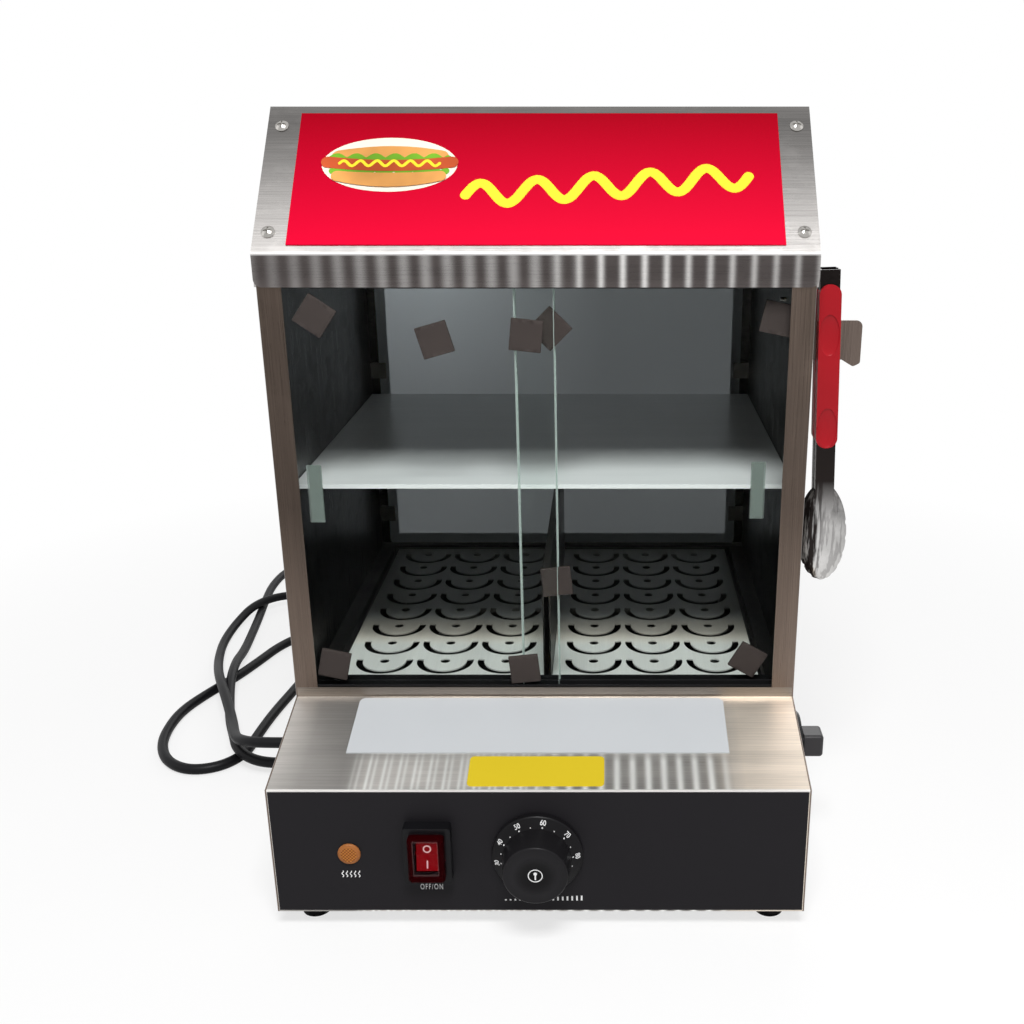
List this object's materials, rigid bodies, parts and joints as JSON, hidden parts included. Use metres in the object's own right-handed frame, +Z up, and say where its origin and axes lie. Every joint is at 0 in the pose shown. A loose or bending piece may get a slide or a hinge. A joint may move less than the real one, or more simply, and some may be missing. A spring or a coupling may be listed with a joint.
{
  "type": "hot dog steamer",
  "caption": "Countertop steel steamer with sliding glass doors, a shelf, perforated trays over a heated water tank, a sloped hood with a sign, hanging tongs and a power cord.",
  "frame": {"origin": "on the floor under the middle of the box around the steamer without its cord", "axes": "+X to the right as seen from the front, +Y to the back, +Z up; metres"},
  "size_m": [0.5487, 0.6887, 0.5045],
  "materials": {
    "brushed_steel": "brushed along its length",
    "bright_steel": "bright turned",
    "hook_steel": "satin",
    "tong_steel": "polished",
    "tray_steel": "satin",
    "shelf_steel": "satin",
    "heater_steel": "dull",
    "brass_fittings": "turned",
    "copper_probe": "drawn",
    "overlay_black": "fine satin film",
    "board_grey": "smooth",
    "label_yellow": "glossy film",
    "sign_red": "glossy film",
    "rubber_black": "semi-matt",
    "frosted_glass": "frosted",
    "door_glass": "clear",
    "pull_glass": "clear with a green tint",
    "foam_grey": "fine foam",
    "knob_black": "moulded satin",
    "switch_black": "moulded",
    "rocker_red": "moulded translucent",
    "boot_clear": "soft clear",
    "lens_amber": "faceted",
    "control_white": "moulded",
    "track_black": "extruded",
    "grip_red": "moulded",
    "tap_grey": "moulded"
  },
  "bodies": {
    "cabinet": {"front_panel": "brushed_steel", "side_panel_left": "brushed_steel", "side_panel_right": "brushed_steel", "back_panel": "brushed_steel", "front_rail": "brushed_steel", "deck": "brushed_steel", "header_rail": "brushed_steel", "ceiling_panel": "brushed_steel", "water_tank": "brushed_steel", "base_pan": "brushed_steel", "hood_shell": "brushed_steel", "hood_end_left": "brushed_steel", "hood_end_right": "brushed_steel", "shelf_rails": "brushed_steel", "control_overlay": "overlay_black", "ledge_board": "board_grey", "ledge_label": "label_yellow", "feet": "rubber_black", "rear_glass": "frosted_glass", "rear_glass_clips": "bright_steel", "heating_element": "heater_steel", "tank_fittings": "brass_fittings", "thermostat_body": "control_white", "thermostat_probe": "copper_probe", "switch_body": "switch_black", "switch_boot": "boot_clear", "lamp_housing": "lens_amber", "lamp_lens": "lens_amber", "terminal_block": "control_white", "door_track_bottom": "track_black", "door_track_top": "track_black", "sign_panel": "sign_red", "sign_screws": "bright_steel", "case_screws": "bright_steel", "tong_hook": "hook_steel", "drain_valve": "brass_fittings", "drain_flange": "switch_black", "cord_gland": "switch_black", "power_cord": "rubber_black", "power_plug": "rubber_black"},
    "left_door": {"glass_door_left": "door_glass", "door_pull_left": "pull_glass", "foam_pads_left": "foam_grey"},
    "right_door": {"glass_door_right": "door_glass", "door_pull_right": "pull_glass", "foam_pads_right": "foam_grey"},
    "thermostat": {"thermostat_knob": "knob_black", "thermostat_shaft": "bright_steel"},
    "switch": {"switch_rocker": "rocker_red"},
    "drain_tap": {"drain_knob": "tap_grey"},
    "left_tray": {"tray_left": "tray_steel"},
    "right_tray": {"tray_right": "tray_steel"},
    "tray_divider": {"divider": "brushed_steel"},
    "loading_shelf": {"shelf": "shelf_steel"},
    "tongs": {"tong_arm_rear": "tong_steel", "tong_grip_rear": "grip_red", "tong_pin": "bright_steel", "tong_spring": "bright_steel"},
    "front_tong": {"tong_arm_front": "tong_steel", "tong_grip_front": "grip_red"}
  },
  "joints": [
    {"name": "left_door_slide", "type": "slide", "parent": "cabinet", "child": "left_door", "axis": [1, 0, 0], "range_m": [0, 0.15]},
    {"name": "right_door_slide", "type": "slide", "parent": "cabinet", "child": "right_door", "axis": [1, 0, 0], "range_m": [-0.152, 0]},
    {"name": "thermostat_turn", "type": "hinge", "parent": "cabinet", "child": "thermostat", "pos_m": [-0.01795, -0.1864, 0.0576], "axis": [0, 1, 0], "range_deg": [-105, 140]},
    {"name": "switch_rock", "type": "hinge", "parent": "cabinet", "child": "switch", "pos_m": [-0.08665, -0.1904, 0.06], "axis": [1, 0, 0], "range_deg": [0, 16]},
    {"name": "drain_turn", "type": "hinge", "parent": "cabinet", "child": "drain_tap", "pos_m": [0.15335, -0.093, 0.0832], "axis": [1, 0, 0], "range_deg": [0, 90]},
    {"name": "tray_left_lift", "type": "slide", "parent": "cabinet", "child": "left_tray", "axis": [0, 0, 1], "range_m": [0, 0.06]},
    {"name": "tray_right_lift", "type": "slide", "parent": "cabinet", "child": "right_tray", "axis": [0, 0, 1], "range_m": [0, 0.06]},
    {"name": "divider_lift", "type": "slide", "parent": "cabinet", "child": "tray_divider", "axis": [0, 0, 1], "range_m": [0, 0.04]},
    {"name": "shelf_lift", "type": "slide", "parent": "cabinet", "child": "loading_shelf", "axis": [0, 0, 1], "range_m": [0, 0.03]},
    {"name": "tongs_lift", "type": "slide", "parent": "cabinet", "child": "tongs", "axis": [0, 0, 1], "range_m": [0, 0.04]},
    {"name": "tong_open", "type": "hinge", "parent": "tongs", "child": "front_tong", "pos_m": [0.16455, -0.078, 0.402], "axis": [-0.9994, 0, -0.0345], "range_deg": [0, 15]}
  ]
}
